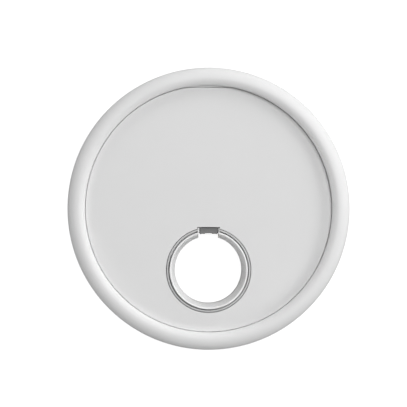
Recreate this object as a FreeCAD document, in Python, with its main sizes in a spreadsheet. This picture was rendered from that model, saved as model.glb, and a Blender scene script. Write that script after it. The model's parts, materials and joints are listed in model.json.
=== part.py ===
import FreeCAD, Part
import math
import os

import Sketcher

# Bluetooth tracker tag: a round, sealed, rechargeable tag with a key hole and a press-to-click front.
#
# Frame: +Z is up out of the front panel, +Y runs from the key hole towards the panel's index flat, and
# the origin is the middle of the disc on the flat rear face.  Millimetres.
#
# Every size is a cell of the sheet "Sizes".  A Size carries a number and the sheet formula behind it, so
# a sketch or a primitive is drawn with the number and then bound to the formula.

doc = FreeCAD.newDocument("tracker_tag")
sheet = doc.addObject("Spreadsheet::Sheet", "Sizes")


# ---------------------------------------------------------------- sizes

class Size:
    """A length that knows its value and the sheet formula that gives it."""

    def __init__(self, value, formula):
        self.value = float(value)
        self.formula = formula

    def combine(self, other, sign, value):
        return Size(value, "(%s %s %s)" % (self.formula, sign, as_size(other).formula))

    def __add__(self, other):
        return self.combine(other, "+", self.value + as_size(other).value)

    def __sub__(self, other):
        return self.combine(other, "-", self.value - as_size(other).value)

    def __mul__(self, other):
        return self.combine(other, "*", self.value * as_size(other).value)

    def __truediv__(self, other):
        return self.combine(other, "/", self.value / as_size(other).value)

    def __neg__(self):
        return as_size(0) - self


def as_size(number):
    """A plain number as a Size; a Size stays itself."""
    if isinstance(number, Size):
        return number
    return Size(number, "(%.6f)" % number if number < 0 else "%.6f" % number)


class Sizes:
    """The driving dimensions, one attribute for each alias of the sheet."""


sizes = Sizes()
next_row = 1


def define(alias, value, meaning):
    """Write one driving dimension to the sheet: its meaning, its value and its alias."""
    global next_row
    sheet.set("A%d" % next_row, meaning)
    sheet.set("B%d" % next_row, str(value))
    sheet.setAlias("B%d" % next_row, alias)
    setattr(sizes, alias, Size(value, "Sizes." + alias))
    next_row += 1


# The case
define("outer_radius", 20.0, "bumper ring, outside")
define("total_height", 7.8, "rear face to the crest of the bumper ring")
define("crest_radius", 18.56, "crest of the bumper ring from the middle")
define("bumper_lift", 0.35, "bumper ring's underside above the rear face")
define("bumper_foot_radius", 1.7, "round of the bumper's lower outer corner")
define("panel_radius", 17.46, "front panel, outside")
define("panel_gap", 0.05, "gap all round the front panel")
define("panel_top", 6.2, "outer face of the front panel")
define("panel_wall", 0.9, "front panel, thickness")
define("panel_flat", 17.17, "index flat of the panel from the middle")
define("panel_edge_round", 0.1, "round on the panel's outer edge")
define("land_half_length", 3.2, "bumper's land along the index flat, half length")
define("land_depth", 0.9, "depth of that land")
define("land_low", 4.6, "underside of that land")
define("land_drop", 0.03, "top of that land below the panel's face")
define("shell_radius", 17.5, "rear shell, outside of the wall")
define("shell_wall", 1.0, "rear shell, wall")
define("shell_floor", 0.8, "rear shell, floor")
define("shell_wall_top", 4.5, "top of the rear shell's wall")
define("shell_edge_round", 0.35, "round on the rear face's edge")
define("tongue_reach", 0.8, "tongue on the shell's wall that the bumper clips over")
define("tongue_low", 2.6, "underside of that tongue")
define("tongue_high", 3.4, "top of that tongue")
define("clip_slack", 0.02, "slack between pieces that clip together")
define("overlap", 0.1, "overlap of a feature with the body it grows from")
define("cutter_reach", 1.0, "how far a cutter reaches past what it cuts")

# The key hole
define("key_hole_y", -8.72, "middle of the key hole")
define("bore_radius", 4.78, "key hole, straight part of the bore")
define("bore_top", 3.6, "where the straight bore ends and its taper starts")
define("sleeve_lift", 0.12, "sleeve's lower end above the rear face")
define("sleeve_crest", 6.42, "crest of the sleeve's lip")
define("sleeve_lip_inner", 5.3, "inner edge of the lip")
define("sleeve_radius", 5.55, "sleeve, outside")
define("sleeve_lip_round", 0.13, "round of the lip")
define("lip_drop", 0.1, "foot of the lip's round below its crest")
define("sleeve_chamfer", 0.3, "lead-in at the bore's lower end")
define("tube_radius", 6.0, "tube of the shell round the sleeve, outside")
define("tube_top", 4.9, "top of that tube")
define("seal_lip_inner", 5.71, "eyelet seal, inside of its lip")
define("seal_lip_outer", 5.97, "eyelet seal, outside of its lip")
define("seal_foot_top", 5.25, "top of the seal's foot")
define("seal_top", 6.14, "top of the seal's lip")
define("seal_lip_edge", 0.05, "bevel on the edges of the seal's lip")
define("panel_hole_radius", 6.05, "hole in the front panel round the seal")
define("notch_half_width", 1.44, "key notch of the bore, half width")
define("cheek_half_width", 1.54, "cheeks beside the contact block, over both")
define("cheek_front", 5.2, "front of the cheeks, from the hole's middle")
define("cheek_top", 6.12, "top of the cheeks")
define("cheek_slope_low", 5.5, "foot of the slope inside a cheek")
define("cheek_edge", 0.04, "width of a cheek's top edge")
define("cheek_gap", 0.02, "slack of the shell and the seal round the cheeks")
define("panel_notch_half_width", 1.6, "notch in the panel's hole, half width")
define("panel_notch_reach", 6.1, "notch in the panel's hole, from the hole's middle")

# The charge socket in the notch
define("block_half_width", 1.2, "contact block, half width")
define("block_face_radius", 5.22, "concave face of the block from the hole's middle")
define("block_top", 5.9, "top of the block")
define("block_back", 6.9, "back of the block from the hole's middle")
define("block_ear_half_width", 1.9, "ears behind the tube, half width")
define("block_ear_low", 1.3, "underside of the ears")
define("block_ear_high", 3.85, "top of the ears")
define("block_neck", 0.3, "length of the neck between block and ears")
define("contact_pitch", 0.75, "charge contacts, pitch")
define("contact_width", 0.46, "charge contacts, width")
define("contact_thickness", 0.16, "charge contacts, thickness")
define("middle_contact_face", 5.2, "face of the middle contact from the hole's middle")
define("side_contact_face", 5.11, "faces of the side contacts from the hole's middle")
define("contact_low", 0.9, "lower end of a contact")
define("contact_high", 3.9, "upper end of a contact")
define("contact_tail_z", 2.9, "underside of a contact's tail")
define("contact_tail_y", 7.1, "where a tail turns up to the board, from the hole's middle")
define("contact_tail_width", 0.3, "tail of a contact, width")

# The board
define("board_radius", 15.6, "main board")
define("board_low", 4.0, "underside of the main board")
define("board_high", 4.6, "top of the main board")
define("board_hole_radius", 6.3, "hole in the board round the tube")
define("screw_hole_radius", 0.7, "board's screw holes")
define("screw_radius", 0.6, "screw thread, outside")
define("screw_head_radius", 1.1, "screw head")
define("screw_head_height", 0.35, "screw head, height")
define("screw_end", 1.6, "lower end of a screw")
define("boss_radius", 1.3, "screw bosses in the rear shell")
define("boss_bore_radius", 0.62, "bore of a screw boss")
define("boss_bore_spare", 0.3, "bore of a boss below the screw's end")
define("screw_slot_length", 1.1, "cross recess of a screw, length")
define("screw_slot_width", 0.26, "cross recess of a screw, width")
define("screw_slot_depth", 0.18, "cross recess of a screw, depth")
define("upper_screw_x", 12.6, "upper pair of screws")
define("upper_screw_y", 3.5, "upper pair of screws")
define("lower_screw_x", 9.6, "lower pair of screws")
define("lower_screw_y", -10.2, "lower pair of screws")

# The snap legs of the panel
define("leg_inner", 15.75, "snap legs, inside")
define("leg_outer", 16.15, "snap legs, outside")
define("barb_outer", 16.38, "barbs of the snap legs")
define("barb_low", 3.5, "underside of the barbs")
define("barb_high", 3.87, "top of the barbs")
define("leg_low", 3.3, "lower end of the snap legs")
define("catch_inner", 16.22, "catches on the shell's wall")
define("catch_low", 3.9, "underside of the catches")
define("catch_high", 4.35, "top of the catches")
define("catch_half_length", 1.4, "half length of a catch along the rim")
define("barb_half_length", 1.2, "half length of a barb along the rim")
define("leg_half_length", 2.0, "half length of a snap leg along the rim")
define("gasket_inner", 16.6, "panel gasket, inside")
define("gasket_outer", 17.2, "panel gasket, outside")
define("gasket_base", 0.25, "panel gasket, height of its base")
define("gasket_tip", 0.3, "panel gasket, width of its tip")

# The click switch
define("dome_y", 1.2, "middle of the click switch")
define("dome_radius", 2.0, "metal dome")
define("dome_rise", 0.28, "metal dome, height")
define("dome_sheet", 0.06, "metal dome, sheet thickness")
define("pad_copper", 0.035, "copper pads on the board, thickness")
define("pad_ring_width", 0.48, "outer copper pad of the switch, width")
define("pad_middle_radius", 0.5, "inner copper pad of the switch")
define("dome_flange", 0.1, "foot of the metal dome, width")
define("film_thickness", 0.04, "film over the dome")
define("film_radius", 2.9, "film over the dome, radius")
define("film_lift", 0.005, "air between the dome and the film")
define("film_edge_rise", 0.03, "film's height over the dome's foot")
define("film_skirt", 0.13, "slope of the film beside the dome")
define("nub_radius", 1.0, "nub under the panel that presses the dome")

# The cell and its cradle
define("cell_y", 8.0, "middle of the cell")
define("cell_radius", 8.0, "coin cell")
define("cell_low", 1.3, "underside of the cell")
define("cell_high", 3.78, "top of the cell")
define("cap_radius", 6.9, "negative cap of the cell")
define("cap_reveal", 0.12, "cap and grommet proud of the can")
define("grommet_width", 0.35, "plastic ring between cap and can")
define("cap_depth", 0.5, "cap and grommet, depth")
define("grommet_reveal", 0.05, "grommet proud of the can")
define("can_rim_round", 0.2, "round of the can's upper edge")
define("cap_round", 0.1, "round of the cap's edge")
define("cell_round", 0.45, "round of the cell's lower edge")
define("cradle_gap", 0.15, "slack round the cell")
define("cradle_wall", 0.7, "ring that holds the cell")
define("cradle_top", 3.5, "top of that ring")
define("gate_half_width", 1.9, "gate in that ring for the leads, half width")
define("tab_width", 2.4, "battery tabs, width")
define("tab_sheet", 0.13, "battery tabs, sheet thickness")
define("tab_reach", 9.6, "where the tabs turn, from the cell's middle")
define("tab_foot", 1.4, "soldered foot of a tab")
define("tab_weld_reach", 1.5, "how far a tab runs past the cell's middle")
define("tab_lift", 0.01, "air between a tab and the cell")
define("insulator_radius", 7.7, "insulating film over the cell")
define("insulator_sheet", 0.04, "insulating film, thickness")

# The sounder
define("piezo_radius", 7.4, "brass plate of the sounder")
define("piezo_sheet", 0.1, "brass plate, thickness")
define("ceramic_radius", 5.4, "ceramic disc of the sounder")
define("ceramic_sheet", 0.12, "ceramic disc, thickness")
define("foam_inner", 6.0, "foam ring on the brass plate, inside")
define("foam_outer", 7.2, "foam ring on the brass plate, outside")
define("lead_radius", 0.12, "sounder leads, over the insulation")
define("lead_bend", 0.5, "bend of a lead")
define("lead_riser", 9.95, "where the leads turn up, from the middle")
define("lead_aside", 1.5, "leads from the cell's middle line")
define("brass_lead_start", 6.6, "soldered end of the lead on the brass")
define("ceramic_lead_start", 4.9, "soldered end of the lead on the ceramic")
define("solder_lift", 0.005, "air under a lead")

# The smallest parts of the board
define("terminal_half_length", 0.5, "smallest two-terminal parts, half length")
define("terminal_half_width", 0.25, "smallest two-terminal parts, half width")
define("capacitor_height", 0.5, "capacitors, height")
define("resistor_height", 0.35, "resistors, height")
define("chip_corner", 0.12, "eased corners of a packaged part")

# The packaged parts under the board: middle x, middle y, length, width, height and turn in degrees
PACKAGES = {
    "bluetooth_chip": (-10.6, -3.6, 5.0, 5.0, 0.8, 0),
    "main_crystal": (-10.6, 0.2, 2.0, 1.6, 0.5, 0),
    "clock_crystal": (-10.2, -7.4, 3.2, 1.5, 0.75, 0),
    "chip_antenna": (14.0, -2.5, 5.2, 1.6, 1.1, 80),
    "charger_chip": (8.9, -2.6, 2.0, 3.0, 0.75, 0),
    "buzzer_driver": (10.6, -6.6, 3.0, 3.0, 0.75, 0),
    "boost_inductor": (10.9, 0.6, 2.5, 2.0, 1.2, 0),
}
for package, measures in PACKAGES.items():
    for what, measure in zip(("x", "y", "length", "width", "height", "turn"), measures):
        define("%s_%s" % (package, what), measure, "%s, %s" % (package.replace("_", " "), what))

# Rows of the smallest parts: middle of the first, step to the next in x and y, and how many
CAPACITOR_ROWS = {
    "decoupling": (-13.9, -5.4, 0, 1.0, 5),
    "charger_cap": (11.0, -3.9, 0, 1.0, 3),
    "driver_cap": (12.9, -8.0, 0, 1.0, 2),
}
RESISTOR_ROWS = {
    "pull_up": (-7.6, -7.4, 0, 0.8, 2),
    "sense": (-7.3, -0.2, -0.8, 0, 2),
    "charge_set": (7.2, -3.6, 0, 1.0, 3),
}

doc.recompute()

sub_parts = []


# ---------------------------------------------------------------- drawing helpers

def bind(target, path, size):
    """Give a property its sheet formula."""
    target.setExpression(path, as_size(size).formula)


def origin_plane(body, role):
    """One of the body's own origin planes."""
    return next(feature for feature in body.Origin.OriginFeatures if feature.Role == role)


def new_body(label, y=None):
    """A PartDesign body that becomes one sub-part; y moves its axis off the disc's middle."""
    body = doc.addObject("PartDesign::Body", label)
    body.Label = label
    if y is not None:
        bind(body, "Placement.Base.y", y)
    sub_parts.append(body)
    return body


def new_sketch(body, name, role="XY_Plane", lift=0, turn=0):
    """A sketch on an origin plane of its body, lifted along the plane's normal and turned in it."""
    sketch = body.newObject("Sketcher::SketchObject", body.Label + "_" + name)
    sketch.AttachmentSupport = [(origin_plane(body, role), "")]
    sketch.MapMode = "FlatFace"
    turned = FreeCAD.Rotation(FreeCAD.Vector(0, 0, 1), turn)
    sketch.AttachmentOffset = FreeCAD.Placement(FreeCAD.Vector(0, 0, 0), turned)
    bind(sketch, "AttachmentOffset.Base.z", lift)
    return sketch


def hold(sketch, constraint, size):
    """Add a dimension to a sketch and bind it to the sheet."""
    index = sketch.addConstraint(constraint)
    bind(sketch, "Constraints[%d]" % index, size)


def hold_point(sketch, piece, end, x, y):
    """Fix one point of a sketch at a place given by two sizes."""
    hold(sketch, Sketcher.Constraint("DistanceX", -1, 1, piece, end, as_size(x).value), x)
    hold(sketch, Sketcher.Constraint("DistanceY", -1, 1, piece, end, as_size(y).value), y)


def add_circle(sketch, radius, x=0, y=0):
    """A circle with its centre and radius bound to the sheet."""
    centre = FreeCAD.Vector(as_size(x).value, as_size(y).value, 0)
    circle = sketch.addGeometry(Part.Circle(centre, FreeCAD.Vector(0, 0, 1), as_size(radius).value))
    hold_point(sketch, circle, 3, x, y)
    hold(sketch, Sketcher.Constraint("Radius", circle, as_size(radius).value), radius)


def arc_between(start, end, radius, turn):
    """The short arc from start to end; turn is +1 for anticlockwise and -1 for clockwise."""
    chord = end - start
    middle = (start + end) * 0.5
    rise = math.sqrt(max(radius ** 2 - (chord.Length / 2) ** 2, 0))
    left = FreeCAD.Vector(-chord.y, chord.x, 0).normalize()
    centre = middle + left * (rise * turn)
    first, last = (start, end) if turn > 0 else (end, start)
    angles = [math.atan2(point.y - centre.y, point.x - centre.x) for point in (first, last)]
    circle = Part.Circle(centre, FreeCAD.Vector(0, 0, 1), radius)
    return Part.ArcOfCircle(circle, angles[0], angles[1])


def add_outline(sketch, corners):
    """A closed outline.  A corner is (x, y), or (x, y, radius, turn) where an arc leaves it."""
    points = [FreeCAD.Vector(as_size(c[0]).value, as_size(c[1]).value, 0) for c in corners]
    count = len(corners)
    pieces = []
    for index, corner in enumerate(corners):
        start = points[index]
        end = points[(index + 1) % count]
        if len(corner) == 4:
            radius, turn = corner[2], corner[3]
            piece = sketch.addGeometry(arc_between(start, end, as_size(radius).value, turn))
            pieces.append((piece, 1 if turn > 0 else 2, 2 if turn > 0 else 1))
            hold(sketch, Sketcher.Constraint("Radius", piece, as_size(radius).value), radius)
        else:
            piece = sketch.addGeometry(Part.LineSegment(start, end))
            pieces.append((piece, 1, 2))
    for index, (piece, start_end, far_end) in enumerate(pieces):
        following = pieces[(index + 1) % count]
        sketch.addConstraint(Sketcher.Constraint("Coincident", piece, far_end, following[0], following[1]))
        hold_point(sketch, piece, start_end, corners[index][0], corners[index][1])


def add_rectangle(sketch, x_low, x_high, y_low, y_high):
    """A rectangle given by its four sides."""
    add_outline(sketch, [(x_low, y_low), (x_high, y_low), (x_high, y_high), (x_low, y_high)])


def finish_feature(body, feature):
    """Make a feature the body's tip and work it out."""
    body.Tip = feature
    doc.recompute()
    return feature


def pad(body, sketch, height):
    """Raise a sketch by a height."""
    feature = body.newObject("PartDesign::Pad", sketch.Label + "_pad")
    feature.Profile = sketch
    bind(feature, "Length", height)
    return finish_feature(body, feature)


def cut(body, sketch, depth, upwards=True):
    """Cut a sketch into the body along +Z, or down; it must take material away."""
    before = body.Shape.Volume
    feature = body.newObject("PartDesign::Pocket", sketch.Label + "_cut")
    feature.Profile = sketch
    feature.Reversed = upwards
    bind(feature, "Length", depth)
    finish_feature(body, feature)
    if body.Shape.Volume >= before - 1e-6:
        raise RuntimeError(feature.Label + " cuts nothing")
    return feature


def revolve(body, corners, name="profile"):
    """Turn an outline of (radius, height) corners once round the body's Z axis."""
    sketch = new_sketch(body, name, "XZ_Plane")
    add_outline(sketch, corners)
    feature = body.newObject("PartDesign::Revolution", sketch.Label + "_turn")
    feature.Profile = sketch
    feature.ReferenceAxis = (sketch, ["V_Axis"])
    feature.Angle = 360
    return finish_feature(body, feature)


def round_edges(body, radius, wanted):
    """Round the edges of the body's tip that the test picks."""
    tip = body.Tip
    names = ["Edge%d" % (i + 1) for i, edge in enumerate(tip.Shape.Edges) if wanted(edge)]
    if not names:
        raise RuntimeError(body.Label + " has no edge to round")
    feature = body.newObject("PartDesign::Fillet", body.Label + "_round")
    feature.Base = (tip, names)
    bind(feature, "Radius", radius)
    return finish_feature(body, feature)


def repeat_four_times(body, feature):
    """Repeat a feature four times round the body's Z axis."""
    pattern = body.newObject("PartDesign::PolarPattern", feature.Label + "_x4")
    pattern.Originals = [feature]
    pattern.Axis = (feature.Profile[0], ["N_Axis"])
    pattern.Angle = 360
    pattern.Occurrences = 4
    return finish_feature(body, pattern)


def circular_edge(radius, height):
    """A test for the round edge of one radius at one height, about the body's own axis."""
    def test(edge):
        curve = edge.Curve
        if not isinstance(curve, Part.Circle):
            return False
        on_axis = abs(curve.Center.x) < 1e-4 and abs(curve.Center.y) < 1e-4
        level = abs(curve.Center.z - height.value) < 1e-3
        return on_axis and level and abs(curve.Radius - radius.value) < 1e-3
    return test


def primitive(kind, name, position, **dimensions):
    """A Part primitive with its dimensions and its place bound to the sheet."""
    solid = doc.addObject("Part::" + kind, name)
    for axis, size in zip("xyz", position):
        bind(solid, "Placement.Base." + axis, size)
    for prop, size in dimensions.items():
        bind(solid, prop, size)
    return solid


def box(name, x, y, z):
    """A box from three (low, high) pairs."""
    low = [pair[0] for pair in (x, y, z)]
    spans = [as_size(pair[1]) - pair[0] for pair in (x, y, z)]
    return primitive("Box", name, low, Length=spans[0], Width=spans[1], Height=spans[2])


def cylinder(name, x, y, z, radius):
    """An upright cylinder; z is a (low, high) pair."""
    return primitive("Cylinder", name, (x, y, z[0]), Radius=radius, Height=as_size(z[1]) - z[0])


def centred(middle, half):
    """The (low, high) pair round a middle."""
    return (as_size(middle) - half, as_size(middle) + half)


def join(name, solids):
    """Solids fused into one."""
    fused = doc.addObject("Part::MultiFuse", name)
    fused.Shapes = solids
    return fused


def subtract(name, base, tool):
    """One solid cut by another."""
    result = doc.addObject("Part::Cut", name)
    result.Base = base
    result.Tool = tool
    return result


def group(name, solids):
    """Separate solids that share a sub-part."""
    together = doc.addObject("Part::Compound", name)
    together.Links = solids
    return together


def keep(sub_part, label):
    """Give an object its Label and list it as a sub-part."""
    sub_part.Label = label
    sub_parts.append(sub_part)
    return sub_part


# ---------------------------------------------------------------- shared heights

panel_bottom = sizes.panel_top - sizes.panel_wall
bumper_bore = sizes.panel_radius + sizes.panel_gap
piezo_top = sizes.shell_floor + sizes.piezo_sheet
dome_base = sizes.board_high + sizes.pad_copper
hole_y = sizes.key_hole_y
screw_places = [
    (sizes.upper_screw_x, sizes.upper_screw_y),
    (-sizes.upper_screw_x, sizes.upper_screw_y),
    (sizes.lower_screw_x, sizes.lower_screw_y),
    (-sizes.lower_screw_x, sizes.lower_screw_y),
]


# ---------------------------------------------------------------- the case

def make_rear_shell():
    """A dish: floor and wall, the tube round the sleeve, the cell's cradle, bosses and catches."""
    s = sizes
    shell = new_body("rear_shell")
    inner = s.shell_radius - s.shell_wall
    tongue = s.shell_radius + s.tongue_reach
    revolve(shell, [
        (0, 0), (s.shell_radius, 0), (s.shell_radius, s.tongue_low), (tongue, s.tongue_low),
        (tongue, s.tongue_high), (s.shell_radius, s.tongue_high), (s.shell_radius, s.shell_wall_top),
        (inner, s.shell_wall_top), (inner, s.shell_floor), (0, s.shell_floor),
    ])
    round_edges(shell, s.shell_edge_round, circular_edge(s.shell_radius, as_size(0)))

    tube = new_sketch(shell, "tube", lift=s.shell_floor)
    add_circle(tube, s.tube_radius, 0, hole_y)
    pad(shell, tube, s.tube_top - s.shell_floor)

    cradle = new_sketch(shell, "cradle", lift=s.shell_floor)
    add_circle(cradle, s.cell_radius + s.cradle_gap, 0, s.cell_y)
    add_circle(cradle, s.cell_radius + s.cradle_gap + s.cradle_wall, 0, s.cell_y)
    pad(shell, cradle, s.cradle_top - s.shell_floor)

    way_out = new_sketch(shell, "way_for_leads", lift=s.shell_floor)
    ring_outside = s.cell_radius + s.cradle_gap + s.cradle_wall
    add_rectangle(way_out, -(ring_outside + s.overlap), -(s.cell_radius - s.overlap),
                  s.cell_y - s.gate_half_width, s.cell_y + s.gate_half_width)
    cut(shell, way_out, s.cradle_top - s.shell_floor)

    bosses = new_sketch(shell, "bosses", lift=s.shell_floor)
    bores = new_sketch(shell, "boss_bores", lift=s.screw_end - s.boss_bore_spare)
    for x, y in screw_places:
        add_circle(bosses, s.boss_radius, x, y)
        add_circle(bores, s.boss_bore_radius, x, y)
    pad(shell, bosses, s.board_low - s.shell_floor)
    cut(shell, bores, s.board_low - s.screw_end + s.boss_bore_spare)

    catches = new_sketch(shell, "catches", lift=s.catch_low, turn=45)
    add_rectangle(catches, s.catch_inner, inner + s.shell_wall / 2,
                  -s.catch_half_length, s.catch_half_length)
    repeat_four_times(shell, pad(shell, catches, s.catch_high - s.catch_low))

    bore = new_sketch(shell, "bore")
    add_circle(bore, s.sleeve_radius + s.clip_slack, 0, hole_y)
    cut(shell, bore, s.tube_top)
    notch = new_sketch(shell, "notch")
    half_width = s.cheek_half_width + s.cheek_gap
    add_rectangle(notch, -half_width, half_width, hole_y, hole_y + s.tube_radius + s.clip_slack)
    cut(shell, notch, s.tube_top)


def make_bumper_ring():
    """A soft ring with a round crown; its groove clips over the shell's tongue."""
    s = sizes
    ring = new_body("bumper_ring")
    outer_round = s.outer_radius - s.crest_radius
    inner_round = s.crest_radius - bumper_bore
    groove = s.shell_radius + s.tongue_reach + s.clip_slack
    foot = s.outer_radius - s.bumper_foot_radius
    revolve(ring, [
        (bumper_bore, s.bumper_lift), (foot, s.bumper_lift, s.bumper_foot_radius, 1),
        (s.outer_radius, s.bumper_lift + s.bumper_foot_radius),
        (s.outer_radius, s.total_height - outer_round, outer_round, 1),
        (s.crest_radius, s.total_height, inner_round, 1), (bumper_bore, s.total_height - inner_round),
        (bumper_bore, s.tongue_high + s.clip_slack), (groove, s.tongue_high + s.clip_slack),
        (groove, s.tongue_low - s.clip_slack), (bumper_bore, s.tongue_low - s.clip_slack),
    ])
    land = new_sketch(ring, "land", lift=s.land_low)
    front = s.panel_flat + s.panel_gap
    add_rectangle(land, -s.land_half_length, s.land_half_length, front, front + s.land_depth)
    pad(ring, land, s.panel_top - s.land_drop - s.land_low)


def top_rim(edge):
    """True for an edge of the panel's outer rim on its top face."""
    top = sizes.panel_top.value - 1e-4
    reach = sizes.panel_flat.value - sizes.overlap.value
    return all(end.Z > top and math.hypot(end.X, end.Y) > reach for end in edge.Vertexes)


def make_front_panel():
    """The press panel: a disc with an index flat, its key hole, snap legs and the switch's nub."""
    s = sizes
    panel = new_body("front_panel")
    disc = new_sketch(panel, "disc", lift=panel_bottom)
    add_circle(disc, s.panel_radius)
    pad(panel, disc, s.panel_wall)
    flat = new_sketch(panel, "index_flat", lift=panel_bottom)
    half_length = s.land_half_length + s.cutter_reach
    add_rectangle(flat, -half_length, half_length, s.panel_flat, s.panel_radius + s.cutter_reach)
    cut(panel, flat, s.panel_wall)
    hole = new_sketch(panel, "hole", lift=panel_bottom)
    add_circle(hole, s.panel_hole_radius, 0, hole_y)
    cut(panel, hole, s.panel_wall)
    notch = new_sketch(panel, "notch", lift=panel_bottom)
    add_rectangle(notch, -s.panel_notch_half_width, s.panel_notch_half_width,
                  hole_y + s.bore_radius, hole_y + s.panel_notch_reach)
    cut(panel, notch, s.panel_wall)
    round_edges(panel, s.panel_edge_round, top_rim)

    nub = new_sketch(panel, "nub", lift=dome_top() + s.clip_slack)
    add_circle(nub, s.nub_radius, 0, s.dome_y)
    pad(panel, nub, panel_bottom - dome_top())

    legs = new_sketch(panel, "legs", lift=s.leg_low, turn=45)
    add_rectangle(legs, s.leg_inner, s.leg_outer, -s.leg_half_length, s.leg_half_length)
    repeat_four_times(panel, pad(panel, legs, panel_bottom - s.leg_low + s.overlap))
    barbs = new_sketch(panel, "barbs", lift=s.barb_low, turn=45)
    add_rectangle(barbs, s.leg_outer - s.overlap, s.barb_outer, -s.barb_half_length, s.barb_half_length)
    repeat_four_times(panel, pad(panel, barbs, s.barb_high - s.barb_low))


def make_panel_gasket():
    """A soft ring between the shell's wall and the panel; the panel squeezes it."""
    s = sizes
    gasket = new_body("panel_gasket")
    middle = (s.gasket_inner + s.gasket_outer) / 2
    top = panel_bottom - s.clip_slack
    shoulder = s.shell_wall_top + s.gasket_base
    revolve(gasket, [
        (s.gasket_inner, s.shell_wall_top), (s.gasket_outer, s.shell_wall_top),
        (s.gasket_outer, shoulder), (middle + s.gasket_tip / 2, top), (middle - s.gasket_tip / 2, top),
        (s.gasket_inner, shoulder),
    ])


def make_eyelet_sleeve():
    """The hard liner of the key hole: straight bore, taper, rounded lip, key notch and its cheeks."""
    s = sizes
    sleeve = new_body("eyelet_sleeve", hole_y)
    shoulder = s.sleeve_crest - s.lip_drop
    revolve(sleeve, [
        (s.bore_radius + s.sleeve_chamfer, s.sleeve_lift), (s.sleeve_radius, s.sleeve_lift),
        (s.sleeve_radius, shoulder, s.sleeve_lip_round, 1), (s.sleeve_lip_inner, shoulder),
        (s.bore_radius, s.bore_top), (s.bore_radius, s.sleeve_lift + s.sleeve_chamfer),
    ])
    notch = new_sketch(sleeve, "notch")
    add_rectangle(notch, -s.notch_half_width, s.notch_half_width,
                  s.cutter_reach, s.sleeve_radius + s.cutter_reach)
    cut(sleeve, notch, s.total_height)
    cheeks = new_sketch(sleeve, "cheeks", "XZ_Plane", lift=-s.tube_radius)
    inside = s.block_half_width + s.clip_slack / 2
    edge = s.cheek_half_width - s.cheek_edge
    for side in (-1, 1):
        add_outline(cheeks, [
            (inside * side, s.sleeve_lift), (s.cheek_half_width * side, s.sleeve_lift),
            (s.cheek_half_width * side, s.cheek_top), (edge * side, s.cheek_top),
            (inside * side, s.cheek_slope_low),
        ])
    pad(sleeve, cheeks, s.tube_radius - s.cheek_front)


def make_eyelet_seal():
    """A soft dust lip that stands between the sleeve and the panel's hole."""
    s = sizes
    seal = new_body("eyelet_seal", hole_y)
    edge = s.seal_lip_edge
    revolve(seal, [
        (s.sleeve_radius + s.clip_slack, s.tube_top), (s.seal_lip_outer, s.tube_top),
        (s.seal_lip_outer, s.seal_top - edge), (s.seal_lip_outer - edge, s.seal_top),
        (s.seal_lip_inner + edge, s.seal_top), (s.seal_lip_inner, s.seal_top - edge),
        (s.seal_lip_inner, s.seal_foot_top), (s.sleeve_radius + s.clip_slack, s.seal_foot_top),
    ])
    notch = new_sketch(seal, "notch")
    half_width = s.cheek_half_width + s.cheek_gap
    add_rectangle(notch, -half_width, half_width, s.cutter_reach, s.tube_radius + s.cutter_reach)
    cut(seal, notch, s.total_height)


# ---------------------------------------------------------------- the charge socket

def contact_solids(suffix):
    """The three contacts: a flat face towards the bore, a tail through the block and a leg."""
    s = sizes
    turn_up = hole_y + s.contact_tail_y
    tail_top = s.contact_tail_z + s.contact_thickness
    contacts = []
    for place in (-1, 0, 1):
        name = "contact_%d_%s_" % (place + 1, suffix)
        front = hole_y + (s.side_contact_face if place else s.middle_contact_face)
        back = front + s.contact_thickness
        middle = s.contact_pitch * place
        face_x = centred(middle, s.contact_width / 2)
        tail_x = centred(middle, s.contact_tail_width / 2)
        face = box(name + "face", face_x, (front, back), (s.contact_low, s.contact_high))
        tail = box(name + "tail", tail_x, (front, turn_up), (s.contact_tail_z, tail_top))
        leg = box(name + "leg", tail_x, (turn_up - s.clip_slack, turn_up + s.contact_thickness),
                  (s.contact_tail_z, s.board_low - s.clip_slack / 2))
        contacts.append(join(name + "whole", [face, tail, leg]))
    return contacts


def make_charge_socket():
    """The insulating block in the notch, moulded round three contacts that face the bore."""
    s = sizes
    keep(group("contacts", contact_solids("kept")), "charge_contacts")
    block = doc.addObject("PartDesign::Body", "block")
    bind(block, "Placement.Base.y", hole_y)
    front = new_sketch(block, "front", lift=s.sleeve_lift)
    add_rectangle(front, -s.block_half_width, s.block_half_width, s.bore_radius, s.tube_radius)
    pad(block, front, s.block_top - s.sleeve_lift)
    neck = new_sketch(block, "neck", lift=s.block_ear_low)
    add_rectangle(neck, -s.block_half_width, s.block_half_width,
                  s.tube_radius - s.overlap, s.tube_radius + s.block_neck)
    pad(block, neck, s.block_ear_high - s.block_ear_low)
    ears = new_sketch(block, "ears", lift=s.block_ear_low)
    add_rectangle(ears, -s.block_ear_half_width, s.block_ear_half_width,
                  s.tube_radius + s.clip_slack, s.block_back)
    pad(block, ears, s.block_ear_high - s.block_ear_low)
    face = new_sketch(block, "concave_face")
    add_circle(face, s.block_face_radius)
    cut(block, face, s.total_height)
    tool = group("contact_spaces", contact_solids("space"))
    keep(subtract("block_with_spaces", block, tool), "contact_block")


# ---------------------------------------------------------------- the board and its parts

def make_main_board():
    """The round circuit board with its hole round the tube and its screw holes."""
    s = sizes
    board = new_body("main_board")
    outline = new_sketch(board, "outline", lift=s.board_low)
    add_circle(outline, s.board_radius)
    add_circle(outline, s.board_hole_radius, 0, hole_y)
    for x, y in screw_places:
        add_circle(outline, s.screw_hole_radius, x, y)
    pad(board, outline, s.board_high - s.board_low)


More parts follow.
